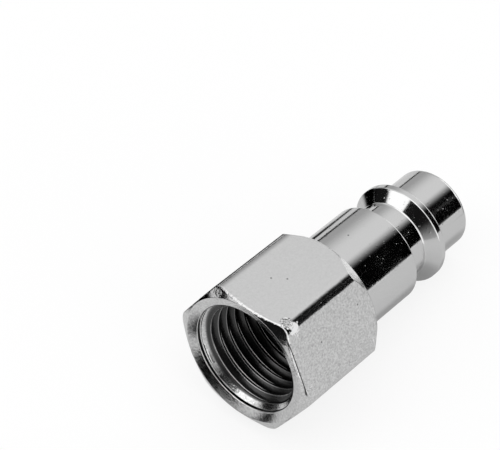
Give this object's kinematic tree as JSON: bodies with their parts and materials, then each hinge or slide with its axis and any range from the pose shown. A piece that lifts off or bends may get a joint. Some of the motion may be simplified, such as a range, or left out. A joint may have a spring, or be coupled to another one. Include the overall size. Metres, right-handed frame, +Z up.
{
  "type": "quick coupling plug",
  "caption": "Turned metal plug of an air line quick coupling, with a hexagon and a female pipe thread at the back and a neck, a locking collar and a plain nose in front.",
  "frame": {"origin": "centre of the bounding box at its base, on the ground that the plug lies on", "axes": "+X along the plug towards its nose, +Z up; the plug lies at rest on the front of a hexagon flat and on its collar, so its own axis points 7.72 degrees below +X"},
  "size_m": [0.0342, 0.0182, 0.0175],
  "materials": {
    "plated_steel": "bright nickel plate over turned steel"
  },
  "bodies": {
    "root": {"coupling_plug": "plated_steel"}
  },
  "joints": []
}
